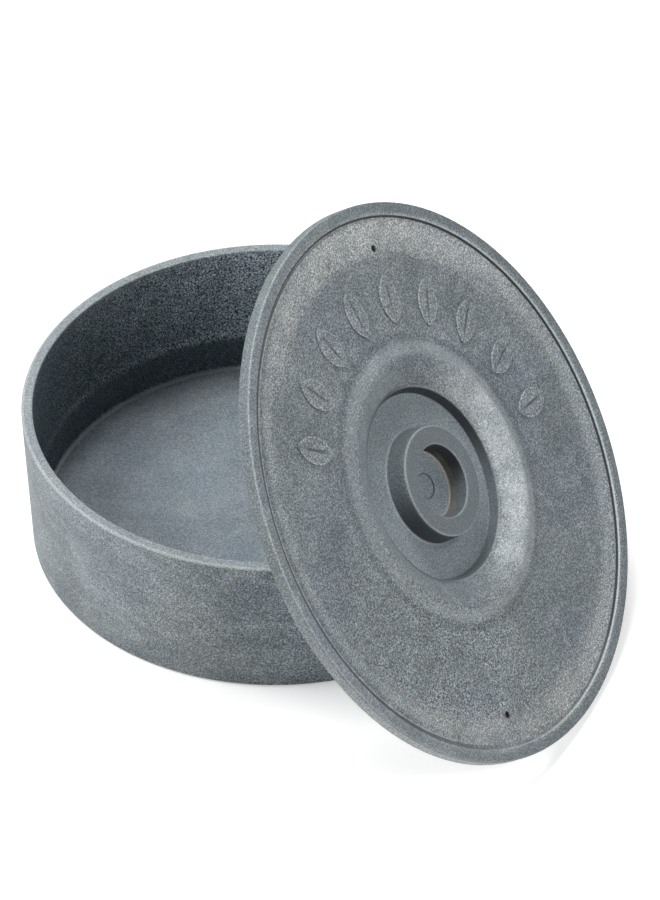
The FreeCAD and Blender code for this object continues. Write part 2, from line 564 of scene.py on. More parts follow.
class WornPatches(SharedEffect):
    """A ragged mask that breaks up a worn or chalky zone."""

    name = "worn_patches"
    inputs = {"Vector": Kind.VECTOR, "Patch Size": Kind.NUMBER}
    outputs = {"Mask": Kind.NUMBER}
    broad_share = 0.6
    broad_roughness = 0.6
    fine_size = 0.14
    fine_share = 0.4
    fine_roughness = 0.7
    patch_range = (0.42, 0.58)

    @classmethod
    def wire(cls, bench: Bench, given: Sockets, result: Sockets) -> None:
        """Wire a large noise that lets a fine one through.

        Args:
            bench: the group's bench.
            given: what the group is given.
            result: what the group puts out.
        """
        size = given["Patch Size"]
        place = given["Vector"]
        broad = bench.noise(place, size, detail=3.0, roughness=cls.broad_roughness).outputs["Fac"]
        fine_size = bench.math("MULTIPLY", size, cls.fine_size)
        fine = bench.noise(place, fine_size, detail=4.0, roughness=cls.fine_roughness).outputs["Fac"]
        broad = bench.math("MULTIPLY", broad, cls.broad_share)
        both = bench.math("ADD", broad, bench.math("MULTIPLY", fine, cls.fine_share))
        bench.feed(result["Mask"], bench.remap(both, *cls.patch_range))


class TurnedBand(SharedEffect):
    """A mask for one band of a turned surface.

    The band lies between two radii and two heights, with soft borders, and may fade out away from one side.
    """

    name = "turned_band"
    inputs = {
        "Vector": Kind.VECTOR,
        "Inner Radius": Kind.NUMBER,
        "Outer Radius": Kind.NUMBER,
        "Low": Kind.NUMBER,
        "High": Kind.NUMBER,
        "Softness": Kind.NUMBER,
        "Towards": Kind.VECTOR,
        "Fades At": Kind.NUMBER,
    }
    outputs = {"Mask": Kind.NUMBER}
    fade_width = 0.9

    @classmethod
    def wire(cls, bench: Bench, given: Sockets, result: Sockets) -> None:
        """Wire four soft limits and the fade into one mask.

        Args:
            bench: the group's bench.
            given: what the group is given.
            result: what the group puts out.
        """
        parts = bench.add("ShaderNodeSeparateXYZ")
        bench.feed(parts.inputs[0], given["Vector"])
        flat = bench.vector_math("MULTIPLY", given["Vector"], Vector((1.0, 1.0, 0.0)))
        radius = bench.vector_math("LENGTH", flat)
        facing = bench.math("DIVIDE", bench.vector_math("DOT_PRODUCT", flat, given["Towards"]), radius)
        fades_at, soft = given["Fades At"], given["Softness"]
        mask = bench.remap(facing, fades_at, bench.math("ADD", fades_at, cls.fade_width))
        for measure, lower, upper in (
            (radius, given["Inner Radius"], given["Outer Radius"]),
            (parts.outputs["Z"], given["Low"], given["High"]),
        ):
            above = bench.remap(measure, bench.math("SUBTRACT", lower, soft), bench.math("ADD", lower, soft))
            past = bench.remap(measure, bench.math("SUBTRACT", upper, soft), bench.math("ADD", upper, soft))
            within = bench.math("MULTIPLY", above, bench.math("SUBTRACT", 1.0, past))
            mask = bench.math("MULTIPLY", mask, within)
        bench.feed(result["Mask"], mask)


@dataclass(frozen=True)
class Band:
    """Where a zone lies: between two radii and two heights of a piece's own frame."""

    inner: float
    outer: float
    low: float
    high: float = BEYOND


@dataclass(frozen=True)
class Zone:
    """A band of a turned piece that has its own tone and grain.

    The tone is mixed in by its share. The smoothness weakens the grain, or strengthens it if it is below 0.
    A zone with an angle lies on that side only, and a broken zone is a patchy one.
    """

    name: str
    band: Band
    tone: Colour
    share: float
    smoothness: float = 0.0
    softness: float = 0.0008
    angle: Optional[float] = None
    fades_at: float = 0.0
    broken: float = 0.0
    patch_size: float = 0.012
    patch_stretch: Place = (1.0, 1.0, 1.0)

    def mask(self, bench: Bench, own_place: Socket) -> Socket:
        """Wire the zone's mask.

        Args:
            bench: the material's bench.
            own_place: the point being shaded, in the piece's own frame.

        Returns:
            The mask's socket, from 0 to 1.
        """
        towards = Vector((0.0, 0.0, 0.0))
        fades_at = -1.0
        if self.angle is not None:
            turn = math.radians(self.angle)
            towards = Vector((math.cos(turn), math.sin(turn), 0.0))
            fades_at = self.fades_at
        band = bench.place(
            TurnedBand.group(),
            Vector=own_place,
            Inner_Radius=self.band.inner,
            Outer_Radius=self.band.outer,
            Low=self.band.low,
            High=self.band.high,
            Softness=self.softness,
            Towards=towards,
            Fades_At=fades_at,
        )
        band.label = self.name
        if self.broken <= 0.0:
            return band.outputs["Mask"]
        stretched = bench.vector_math("MULTIPLY", own_place, Vector(self.patch_stretch))
        patches = bench.place(WornPatches.group(), Vector=stretched, Patch_Size=self.patch_size)
        kept = bench.math("MULTIPLY", patches.outputs["Mask"], self.broken)
        kept = bench.math("ADD", kept, 1.0 - self.broken)
        return bench.math("MULTIPLY", band.outputs["Mask"], kept)


@dataclass(frozen=True)
class PoreAndShadow:
    """A small dark spot in a piece's own frame, for a pore in its skin and for painted shade inside a vent.
    """

    place: Place
    radius: float
    edge: tuple[float, float] = (0.7, 1.2)

    def mask(self, bench: Bench, own_place: Socket) -> Socket:
        """Wire the pore's mask.

        Args:
            bench: the material's bench.
            own_place: the point being shaded, in the piece's own frame.

        Returns:
            The mask's socket, 1 inside the spot and 0 outside.
        """
        distance = bench.vector_math("DISTANCE", own_place, Vector(self.place))
        reach = bench.remap(distance, self.radius * self.edge[0], self.radius * self.edge[1])
        return bench.math("SUBTRACT", 1.0, reach)


@dataclass(frozen=True)
class StonePlastic:
    """Matte plastic with a stone-grey filler: cloudy in tone and finely grained."""

    name: str
    dark: Colour
    light: Colour
    chalk: Colour
    zones: tuple[Zone, ...]
    pores_and_shadows: tuple[PoreAndShadow, ...]
    cloud_size: float
    cloud_stretch: Place = (1.0, 1.0, 1.0)
    swirl: float = 1.6
    pore_and_shadow_tone: Colour = (0.012, 0.014, 0.015)
    blue: Colour = (0.965, 0.997, 1.05)
    warm: Colour = (1.00, 1.00, 0.985)
    tint_size: float = 0.045
    tint_range: tuple[float, float] = (0.38, 0.62)
    worn_tone: Colour = (0.46, 0.49, 0.50)
    # Tone of the painted shade at the leaves' feet and in their veins.
    painted_shade_tone: Colour = (0.075, 0.090, 0.100)
    grain_size: float = 0.00075
    grain_depth: float = 0.00030
    speck_share: float = 0.82
    speck_mean: float = 0.34
    chalk_share: float = 0.20
    roughness: tuple[float, float] = (0.50, 0.80)
    specular: float = 0.35

    def material(self, place: Matrix) -> bpy.types.Material:
        """Build the material for a piece.

        Args:
            place: where the piece's own frame stands in the part's frame.

        Returns:
            The new material.
        """
        material = bpy.data.materials.new(self.name)
        bench = Bench.of(material)
        own_place = self.own_place(bench, place)
        grain = bench.place(SandGrain.group(), Vector=own_place, Grain_Size=self.grain_size)
        colour = self.clouded(bench, own_place)
        grain_left: Source = 1.0
        for zone in self.zones:
            mask = zone.mask(bench, own_place)
            colour = bench.blend(bench.math("MULTIPLY", mask, zone.share), colour, zone.tone)
            if zone.smoothness != 0.0:
                kept = bench.math("SUBTRACT", 1.0, bench.math("MULTIPLY", mask, zone.smoothness))
                grain_left = bench.math("MULTIPLY", grain_left, kept)
        # Paint shade where the mesh is marked for it, at the leaves' feet and in their veins.
        colour = bench.blend(self.mark(bench, Mark.PAINTED_SHADE), colour, self.painted_shade_tone)
        colour = bench.blend(self.mark(bench, Mark.WORN), colour, self.worn_tone)
        change = bench.math("SUBTRACT", grain.outputs["Specks"], self.speck_mean)
        change = bench.math("MULTIPLY", change, 2.0 * self.speck_share)
        colour = bench.scaled(colour, bench.math("ADD", bench.math("MULTIPLY", change, grain_left), 1.0))
        # Dark spots: the bowl's pore, and painted shade inside the lid's vents.
        for pore in self.pores_and_shadows:
            colour = bench.blend(pore.mask(bench, own_place), colour, self.pore_and_shadow_tone)
        self.wire_shader(bench, colour, grain.outputs["Relief"], grain_left)
        return material

    def own_place(self, bench: Bench, place: Matrix) -> Socket:
        """Wire the point being shaded, in the piece's own frame.

        Args:
            bench: the material's bench.
            place: where the piece's own frame stands in the part's frame.

        Returns:
            The point's socket.
        """
        coordinates = bench.add("ShaderNodeTexCoord")
        mapping = bench.add("ShaderNodeMapping", vector_type="TEXTURE")
        bench.feed(mapping.inputs["Vector"], coordinates.outputs["Object"])
        bench.feed(mapping.inputs["Location"], place.to_translation())
        bench.feed(mapping.inputs["Rotation"], place.to_euler("XYZ"))
        return mapping.outputs[0]

    def clouded(self, bench: Bench, own_place: Socket) -> Socket:
        """Wire the tone that the plastic has before any wear, with its clouds, flow marks and drift of tint.

        Args:
            bench: the material's bench.
            own_place: the point being shaded, in the piece's own frame.

        Returns:
            The colour's socket.
        """
        stretched = bench.vector_math("MULTIPLY", own_place, Vector(self.cloud_stretch))
        clouds = bench.place(
            CloudMottling.group(),
            Vector=stretched,
            Cloud_Size=self.cloud_size,
            Swirl=self.swirl,
        )
        colour = bench.blend(clouds.outputs["Clouds"], self.dark, self.light)
        chalk = bench.math("MULTIPLY", clouds.outputs["Flow Marks"], self.chalk_share)
        colour = bench.blend(chalk, colour, self.chalk)
        drift = bench.noise(own_place, self.tint_size, detail=3.0).outputs["Fac"]
        drift = bench.remap(drift, *self.tint_range)
        return bench.blend(1.0, colour, bench.blend(drift, self.warm, self.blue), "MULTIPLY")

    def mark(self, bench: Bench, mark: Mark) -> Socket:
        """Return how strongly the mesh is marked at the point being shaded."""
        return bench.add("ShaderNodeAttribute", attribute_name=mark.value).outputs["Fac"]

    def wire_shader(
        self,
        bench: Bench,
        colour: Socket,
        relief: Socket,
        grain_left: Source,
    ) -> None:
        """Wire the surface itself.

        Args:
            bench: the material's bench.
            colour: the surface's colour.
            relief: the grain's height, from 0 to 1.
            grain_left: the share of the grain that the zones leave.
        """
        bump = bench.add("ShaderNodeBump")
        bump.inputs["Distance"].default_value = self.grain_depth
        bench.feed(bump.inputs["Height"], bench.math("MULTIPLY", relief, grain_left))
        surface = bench.add("ShaderNodeBsdfPrincipled")
        surface.inputs["Specular IOR Level"].default_value = self.specular
        bench.feed(surface.inputs["Base Color"], colour)
        bench.feed(surface.inputs["Roughness"], bench.remap(relief, 0.0, 1.0, *self.roughness))
        bench.feed(surface.inputs["Normal"], bump.outputs["Normal"])
        output = bench.add("ShaderNodeOutputMaterial")
        bench.feed(output.inputs["Surface"], surface.outputs[0])


# ------------------------------------------------------------------------------
# The two pieces
# ------------------------------------------------------------------------------


@dataclass
class Bowl:
    """Straight-sided bowl with a flat rim."""

    rim_radius: float = 0.105
    height: float = 0.066
    draft: float = 0.003
    wall: float = 0.0047
    floor_thickness: float = 0.005
    rim_round: float = 0.0009
    inner_rim_round: float = 0.0005
    base_round: float = 0.0016
    floor_round: float = 0.0012
    scuff_height: float = 0.0220
    pore_place: Place = (-0.0640, 0.0765, 0.0600)
    pore_radius: float = 0.0007

    @property
    def inner_rim_radius(self) -> float:
        """Radius of the rim's inner edge."""
        return self.rim_radius - self.wall

    @property
    def floor_radius(self) -> float:
        """Radius of the inside at the floor."""
        return self.inner_rim_radius - self.draft * (self.height - self.floor_thickness) / self.height

    @property
    def inside(self) -> float:
        """Radius within which a zone takes in the whole inner wall."""
        return self.inner_rim_radius + 0.0002

    def turning(self) -> Turning:
        """Draw the bowl's outline, from the middle of its underside round to the middle of its floor.

        Returns:
            The bowl's turned form.
        """
        return Turning((
            Corner(0.0, 0.0),
            Corner(self.rim_radius - self.draft, 0.0, self.base_round),
            Corner(self.rim_radius, self.height, self.rim_round),
            Corner(self.inner_rim_radius, self.height, self.inner_rim_round),
            Corner(self.floor_radius, self.floor_thickness, self.floor_round),
            Corner(0.0, self.floor_thickness),
        ))

    def finish(self) -> StonePlastic:
        """Put the bowl's finish together.

        Returns:
            The finish.
        """
        return StonePlastic(
            name="bowl_stone_plastic",
            dark=(0.134, 0.160, 0.172),
            light=(0.236, 0.266, 0.276),
            chalk=(0.400, 0.428, 0.432),
            zones=self.wall_zones() + self.floor_zones() + self.rim_zones(),
            pores_and_shadows=(PoreAndShadow(self.pore_place, self.pore_radius),),
            cloud_size=0.034,
            cloud_stretch=(1.0, 1.0, 1.8),
            speck_share=1.00,
        )

    def wall_zones(self) -> tuple[Zone, ...]:
        """Lay out the wall, outside and inside.

        Returns:
            Its zones.
        """
        top, foot, scuff = self.height - BEYOND, self.floor_thickness, self.scuff_height
        above_scuff = Band(0.0, self.inside, scuff, top)
        return (
            # Paler on the left of the outer wall: chalky patches that the plastic has, and painted light on
            # the side that faces the left lamp.
            Zone("chalky bloom and painted light outside", Band(self.inside, self.rim_radius + BEYOND, -BEYOND, self.height),
                 (0.36, 0.38, 0.385), 0.24, smoothness=0.45, angle=195.0, fades_at=0.1, broken=0.5,
                 patch_size=0.030),
            # Painted shade: the whole inner wall of the deep bowl darkened.
            Zone("painted shade on the inner wall", Band(0.0, self.inside, foot + BEYOND, top),
                 (0.088, 0.130, 0.168), 0.54, smoothness=-0.6),
            Zone("lit side of the inner wall", above_scuff,
                 (0.52, 0.61, 0.67), 0.88, softness=0.003, angle=45.0, fades_at=-0.2, broken=0.5,
                 patch_size=0.020),
            Zone("pale speckles on the inner wall", above_scuff,
                 (0.34, 0.38, 0.41), 0.70, softness=0.003, angle=65.0, fades_at=-0.3, broken=0.97,
                 patch_size=0.006),
            # Painted shade in the corner where the inner wall meets the floor.
            Zone("painted shade at the foot of the inner wall", Band(0.0, self.inside, foot + 0.002, scuff - 0.002),
                 (0.050, 0.066, 0.078), 0.40, smoothness=0.3, softness=0.002),
            Zone("scuff ring", Band(0.0, self.inside, scuff - 0.0002, scuff + 0.0030),
                 (0.52, 0.56, 0.58), 0.70, softness=0.0018, angle=75.0, fades_at=-0.3, broken=0.97,
                 patch_size=0.0055),
        )

    def floor_zones(self) -> tuple[Zone, ...]:
        """Lay out the floor and its edge.

        Returns:
            Their zones.
        """
        level = self.floor_thickness
        floor = Band(0.0, self.inside, BEYOND, level + 0.0008)
        return (
            Zone("smooth floor", floor, (0.156, 0.190, 0.224), 0.55, smoothness=0.55),
            Zone("pale streaks on the floor", floor,
                 (0.29, 0.33, 0.35), 0.20, smoothness=0.1, broken=0.97, patch_size=0.018,
                 patch_stretch=(0.6, 1.2, 1.0)),
            Zone("pale edge of the floor",
                 Band(self.floor_radius - 0.0014, self.inside, level - BEYOND, level + 0.0012),
                 (0.42, 0.46, 0.48), 0.68, smoothness=0.4, softness=0.0003),
        )

    def rim_zones(self) -> tuple[Zone, ...]:
        """Lay out the rim.

        Returns:
            Its zones.
        """
        top, above = self.height, self.height + 0.01
        outer = self.rim_radius
        return (
            Zone("rim", Band(self.inside - 0.0004, outer, top - 0.0012, above),
                 (0.245, 0.276, 0.288), 0.6, smoothness=0.45),
            # Lighter along the rim's outer edge.
            Zone("pale outer edge of the rim", Band(outer - 0.0012, outer + BEYOND, top - 0.0008, above),
                 (0.42, 0.45, 0.46), 0.45, smoothness=0.3, softness=0.0003),
        )

    def build(self) -> bpy.types.Object:
        """Build and dress the bowl, in place of its CAD node.

        Returns:
            The bowl.
        """
        mesh = bmesh.new()
        self.turning().add_to(mesh)
        piece = finish_mesh(mesh, "bowl_body")
        shade(piece)
        piece.data.materials.append(self.finish().material(Matrix.Identity(4)))
        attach(piece, Body.BOWL.value)
        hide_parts("bowl")
        return piece


@dataclass(frozen=True)
class SectionPoint:
    """One point of a leaf's cross-section: its distance from the middle, its height and its marks."""

    distance: float
    height: float
    worn: float = 0.0
    # How strongly painted shade darkens the point.
    dirt: float = 0.0


@dataclass
class Leaf:
    """One raised leaf of the lid's border: pointed at both ends, with a vein pressed into it."""

    length: float = 0.0204
    width: float = 0.0115
    height: float = 0.0010
    sunk: float = 0.0006
    edge_round: float = 0.0003
    edge_steps: int = 3
    edge_wear_width: float = 0.0004
    vein_width: float = 0.0016
    vein_length: float = 0.0140
    vein_depth: float = 0.0005
    vein_bottom_share: float = 0.35
    vein_sharpness: int = 4
    round_limit: float = 0.6
    vein_limit: float = 0.4
    # How strongly painted shade darkens the leaf's foot, its sides and its vein.
    foot_painted_shade: float = 0.9
    side_painted_shade: float = 0.8
    vein_painted_shade: float = 0.6
    side_worn: float = 0.25
    edge_worn: float = 0.6
    top_worn: float = 0.12
    steps: int = 36
    merge_distance: float = 0.00001

    def half_width(self, along: float) -> float:
        """Work out half the leaf's width, between two round sides.

        Args:
            along: the distance from the leaf's middle.

        Returns:
            Half the width there, which is 0 at the tips and may be a hair below.
        """
        half_length = self.length / 2.0
        half_width = self.width / 2.0
        side_radius = (half_length**2 + half_width**2) / (2.0 * half_width)
        return math.sqrt(max(side_radius**2 - along**2, 0.0)) - (side_radius - half_width)

    def section(self, along: float) -> list[SectionPoint]:
        """Work out one side of the leaf's cross-section.

        Args:
            along: the distance from the leaf's middle.

        Returns:
            The points from the foot to the middle. Near the tips the rounding and the vein are narrower.
        """
        half = max(self.half_width(along), 0.0)
        rounding = min(self.edge_round, half * self.round_limit)
        vein_share = max(0.0, 1.0 - (2.0 * abs(along) / self.vein_length) ** self.vein_sharpness)
        vein = min(self.vein_width / 2.0, half * self.vein_limit)
        vein_bottom = self.height - self.vein_depth * vein_share
        # The vein's painted shade fades out with the vein towards the tips.
        vein_painted_shade = self.vein_painted_shade * vein_share
        points = [
            SectionPoint(half, -self.sunk, dirt=self.foot_painted_shade),
            SectionPoint(half, 0.0, dirt=self.side_painted_shade),
            SectionPoint(half, self.height - rounding, worn=self.side_worn),
        ]
        for step in range(1, self.edge_steps + 1):
            turn = math.radians(90.0 * step / self.edge_steps)
            inset = rounding * (1.0 - math.cos(turn))
            height = self.height - rounding * (1.0 - math.sin(turn))
            points.append(SectionPoint(half - inset, height, worn=self.edge_worn))
        points += [
            SectionPoint(max(half - rounding - self.edge_wear_width, vein), self.height, worn=self.top_worn),
            SectionPoint(vein, self.height, worn=self.top_worn),
            SectionPoint(vein * self.vein_bottom_share, vein_bottom, dirt=vein_painted_shade),
            SectionPoint(0.0, vein_bottom, dirt=vein_painted_shade),
        ]
        return points

    def add_to(self, mesh: BMesh, place: Matrix) -> None:
        """Add the leaf to a mesh.

        Args:
            mesh: the mesh, which has a layer for each mark.
            place: where the middle of the leaf's foot lies. The leaf lies along its +Y.
        """
        worn = mesh.verts.layers.float[Mark.WORN.value]
        # The layer that marks painted shade.
        dirt = mesh.verts.layers.float[Mark.PAINTED_SHADE.value]
        rows = []
        for step in range(self.steps + 1):
            along = -math.cos(math.pi * step / self.steps) * self.length / 2.0
            side = self.section(along)
            row = []
            for sign, points in ((1.0, side), (-1.0, side[-2::-1])):
                for point in points:
                    vert = mesh.verts.new(place @ Vector((sign * point.distance, along, point.height)))
                    vert[worn] = point.worn
                    vert[dirt] = point.dirt
                    row.append(vert)
            rows.append(row)
        columns = len(rows[0])
        for row, following in zip(rows, rows[1:]):
            for column in range(columns):
                beside = (column + 1) % columns
                mesh.faces.new((row[column], row[beside], following[beside], following[column]))
        own_verts = [vert for row in rows for vert in row]
        bmesh.ops.remove_doubles(mesh, verts=own_verts, dist=self.merge_distance)


@dataclass
class Lid:
    """Flat lid with a ring knob in a round well, two vents and a border of leaves.

    Drops are measured down from the lip. Angles are in degrees, in the lid's own frame.
    """

    bowl: Bowl
    radius: float = 0.115
    lip_width: float = 0.0035
    lip_round: float = 0.0006
    lip_bevel_width: float = 0.0016
    lip_bevel_drop: float = 0.0005
    step_draft: float = 0.0005
    step_round: float = 0.0003
    step_foot_round: float = 0.0002
    field_drop_at_step: float = 0.0016
    field_drop: float = 0.0022
    crease_radius: float = 0.1004
    crease_round: float = 0.0015
    edge_depth: float = 0.0052
    edge_round: float = 0.0003
    plate_thickness: float = 0.0042
    core_drop: float = 0.0040
    bead_outer_radius: float = 0.0590
    bead_outer_round: float = 0.0050
    bead_crest_radius: float = 0.0507
    bead_crest_drop: float = 0.0001
    bead_crest_round: float = 0.0045
    under_bead_round: float = 0.0040
    shoulder_radius: float = 0.0446
    shoulder_drop: float = 0.0023
    shoulder_round: float = 0.0060
    well_mouth_radius: float = 0.0400
    well_mouth_drop: float = 0.0058
    well_mouth_round: float = 0.0004
    well_floor_radius: float = 0.0381
    well_floor_drop: float = 0.0099
    well_floor_round: float = 0.0005
    well_wall: float = 0.0026
    well_floor_thickness: float = 0.0029
    under_mouth_round: float = 0.0018
    under_floor_round: float = 0.0012
    knob_foot_radius: float = 0.0237
    knob_foot_round: float = 0.0004
    knob_top_radius: float = 0.0227
    knob_top_drop: float = 0.0009
    knob_top_round: float = 0.0005
    bore_mouth_radius: float = 0.0151
    bore_floor_radius: float = 0.0143
    bore_round: float = 0.0004
    gate_mark_radius: float = 0.0050
    gate_mark_depth: float = 0.0004
    gate_mark_round: float = 0.0001
    locating_clearance: float = 0.0012
    ring_width: float = 0.0030
    ring_depth: float = 0.0045
    ring_draft: float = 0.0004
    ring_round: float = 0.0007
    ring_foot_round: float = 0.0006
    steam_gap_width: float = 0.0100
    steam_gap_length: float = 0.0120
    vent_radius: float = 0.0015
    vent_circle_radius: float = 0.0967
    vent_segments: int = 32
    vent_angle: float = 60.5
    vent_shadow_size: float = 1.35
    leaf_count: int = 9
    leaf_pitch_angle: float = 18.1
    leaf_circle_radius: float = 0.0754
    tilt: float = 53.94
    turn: float = 66.66
    sideways: float = -0.0510
    standoff: float = 0.01053
    upper_side: float = 64.0
    near_side: float = 154.0
    lower_side: float = -112.0
    far_side: float = -26.0

    @property
    def underside_drop(self) -> float:
        """Depth of the plate's underside below the lip's plane."""
        return self.field_drop + self.plate_thickness

    @property
    def step_radius(self) -> float:
        """Radius of the top of the step inside the lip."""
        return self.radius - self.lip_width - self.lip_bevel_width

    @property
    def vent_angles(self) -> tuple[float, float]:
        """Angles of the two vents, which are opposite each other."""
        return self.vent_angle, self.vent_angle + 180.0

    def place(self) -> Matrix:
        """Work out where the lid stands: on its lower edge, leaning on the bowl's rim.

        Returns:
            Where the lid's own frame stands in the part's frame.
        """
        lean = math.radians(self.tilt)
        height = self.radius * math.sin(lean) + self.edge_depth * math.cos(lean)
        rim_reach = self.bowl.rim_radius * math.sin(lean) + self.bowl.height * math.cos(lean)
        reach = (rim_reach + self.standoff - height * math.cos(lean)) / math.sin(lean)
        turned = Matrix.Rotation(math.radians(self.turn), 4, "Z")
        centre = Matrix.Translation(turned @ Vector((self.sideways, -reach, height)))
        return centre @ turned @ Matrix.Rotation(lean, 4, "X")

    def turning(self) -> Turning:
        """Draw the lid's outline, from the middle of its upper side round to the middle of its underside.

        Returns:
            The lid's turned form, lying flat.
        """
        well_floor = -self.well_floor_drop
        gate_floor = well_floor - self.gate_mark_depth
        well_underside = -self.well_floor_drop - self.well_floor_thickness
        mouth_underside = -self.well_mouth_drop - self.well_wall
        underside = -self.underside_drop
        ring_bottom = -self.underside_drop - self.ring_depth
        ring_outer = self.bowl.inner_rim_radius - self.locating_clearance
        ring_inner = ring_outer - self.ring_width
        bevel = self.underside_drop - self.edge_depth
        return Turning((
            Corner(0.0, gate_floor),
            Corner(self.gate_mark_radius, gate_floor, self.gate_mark_round),
            Corner(self.gate_mark_radius, well_floor, self.gate_mark_round),
            Corner(self.bore_floor_radius, well_floor, self.bore_round),
            Corner(self.bore_mouth_radius, -self.knob_top_drop, self.bore_round),
            Corner(self.knob_top_radius, -self.knob_top_drop, self.knob_top_round),
            Corner(self.knob_foot_radius, well_floor, self.knob_foot_round),
            Corner(self.well_floor_radius, well_floor, self.well_floor_round),
            Corner(self.well_mouth_radius, -self.well_mouth_drop, self.well_mouth_round),
            Corner(self.shoulder_radius, -self.shoulder_drop, self.shoulder_round),
            Corner(self.bead_crest_radius, -self.bead_crest_drop, self.bead_crest_round),
            Corner(self.bead_outer_radius, -self.field_drop, self.bead_outer_round),
            Corner(self.crease_radius, -self.field_drop, self.crease_round),
            Corner(self.step_radius - self.step_draft, -self.field_drop_at_step, self.step_foot_round),
            Corner(self.step_radius, -self.lip_bevel_drop, self.step_round),
            Corner(self.radius - self.lip_width, 0.0, self.lip_round),
            Corner(self.radius, 0.0, self.lip_round),
            Corner(self.radius, -self.edge_depth, self.edge_round),
            Corner(self.radius - bevel, underside, self.edge_round),
            Corner(ring_outer, underside, self.ring_foot_round),
            Corner(ring_outer - self.ring_draft, ring_bottom, self.ring_round),
            Corner(ring_inner + self.ring_draft, ring_bottom, self.ring_round),
            Corner(ring_inner, underside, self.ring_foot_round),
            Corner(self.bead_crest_radius, underside, self.under_bead_round),
            Corner(self.well_mouth_radius + self.well_wall, mouth_underside, self.under_mouth_round),
            Corner(self.well_floor_radius + self.well_wall, well_underside, self.under_floor_round),
            Corner(0.0, well_underside),
        ))

    def vent_mesh(self, turned: Matrix) -> BMesh:
        """Make the mesh that cuts a vent.

        Args:
            turned: the turn about the lid's axis that leads to the vent.

        Returns:
            The mesh, which stands out of both sides of the plate.
        """
        middle = turned @ Vector((self.vent_circle_radius, 0.0, -self.underside_drop / 2.0))
        mesh = bmesh.new()
        bmesh.ops.create_cone(
            mesh,
            cap_ends=True,
            segments=self.vent_segments,
            radius1=self.vent_radius,
            radius2=self.vent_radius,
            depth=self.underside_drop + 2.0 * BEYOND,
            matrix=Matrix.Translation(middle),
        )
        return mesh

    def steam_gap_mesh(self, turned: Matrix) -> BMesh:
        """Make the mesh that cuts the gap in the locating ring under a vent.

        Args:
            turned: the turn about the lid's axis that leads to the vent.

        Returns:
            The mesh, which stands out of the ring's bottom.
        """
        depth = self.ring_depth + BEYOND
        distance = self.bowl.inner_rim_radius - self.steam_gap_length / 2.0
        middle = turned @ Vector((distance, 0.0, -self.underside_drop - depth / 2.0))
        size = Matrix.Diagonal((self.steam_gap_length, self.steam_gap_width, depth, 1.0))
        mesh = bmesh.new()
        bmesh.ops.create_cube(mesh, size=1.0, matrix=Matrix.Translation(middle) @ turned @ size)
        return mesh

    def cutters(self) -> list[bpy.types.Object]:
        """Make the cutters of the vents and of the gaps in the locating ring.

        Returns:
            The cutters, two for each vent.
        """
        cutters = []
        for index, angle in enumerate(self.vent_angles):
            turned = Matrix.Rotation(math.radians(angle), 4, "Z")
            cutters.append(finish_mesh(self.vent_mesh(turned), f"vent_cutter_{index}"))
            cutters.append(finish_mesh(self.steam_gap_mesh(turned), f"steam_gap_cutter_{index}"))
        return cutters

    def add_leaves(self, piece: bpy.types.Object) -> None:
        """Add the border of leaves, centred on the first vent.

        Args:
            piece: the lid, lying flat.
        """
        mesh = bmesh.new()
        mesh.from_mesh(piece.data)
        for mark in Mark:
            mesh.verts.layers.float.new(mark.value)
        leaf = Leaf()
        middle = (self.leaf_count - 1) / 2.0
        out = Matrix.Translation((0.0, self.leaf_circle_radius, -self.field_drop))
        for index in range(self.leaf_count):
            angle = self.vent_angle - 90.0 + (index - middle) * self.leaf_pitch_angle
            leaf.add_to(mesh, Matrix.Rotation(math.radians(angle), 4, "Z") @ out)
        bmesh.ops.recalc_face_normals(mesh, faces=mesh.faces[:])
        mesh.to_mesh(piece.data)
        mesh.free()

    def finish(self) -> StonePlastic:
        """Put the lid's finish together.

        Returns:
            The finish.
        """
        return StonePlastic(
            name="lid_stone_plastic",
            dark=(0.146, 0.172, 0.186),
            light=(0.214, 0.244, 0.259),
            chalk=(0.400, 0.428, 0.430),
            zones=(
                self.field_zones()
                + self.lobe_zones()
                + self.channel_zones()
                + self.bead_zones()
                + self.well_zones()
                + self.knob_zones()
                + self.lip_zones()
                + self.step_zones()
            ),
            # Painted shade inside the two vents.
            pores_and_shadows=self.vent_shadows(),
            cloud_size=0.026,
        )

    def field_zones(self) -> tuple[Zone, ...]:
        """Lay out the flat field.

        Returns:
            Its zones.
        """
        core, rim = -self.core_drop, self.crease_radius - 0.004
        flat = Band(self.bead_outer_radius + 0.004, rim, core)
        return (
            # Painted shade: the field darker towards its near side, where less light falls.
            Zone("painted shade on the near side of the field", flat,
                 (0.092, 0.112, 0.124), 0.55, softness=0.005, angle=self.near_side + 24.0, fades_at=0.35,
                 broken=0.3),
            # Painted shade: the field darker towards its far side, where less light falls.
            Zone("painted shade on the far side of the field", flat,
                 (0.098, 0.120, 0.134), 0.42, softness=0.005, angle=self.far_side - 22.0, fades_at=0.45,
                 broken=0.3),
            Zone("coarse pale patch below the bead", Band(self.bead_crest_radius - BEYOND, rim, core),
                 (0.36, 0.40, 0.41), 0.42, smoothness=-0.7, softness=0.003, angle=self.lower_side - 28.0,
                 fades_at=0.35, broken=0.6),
        )

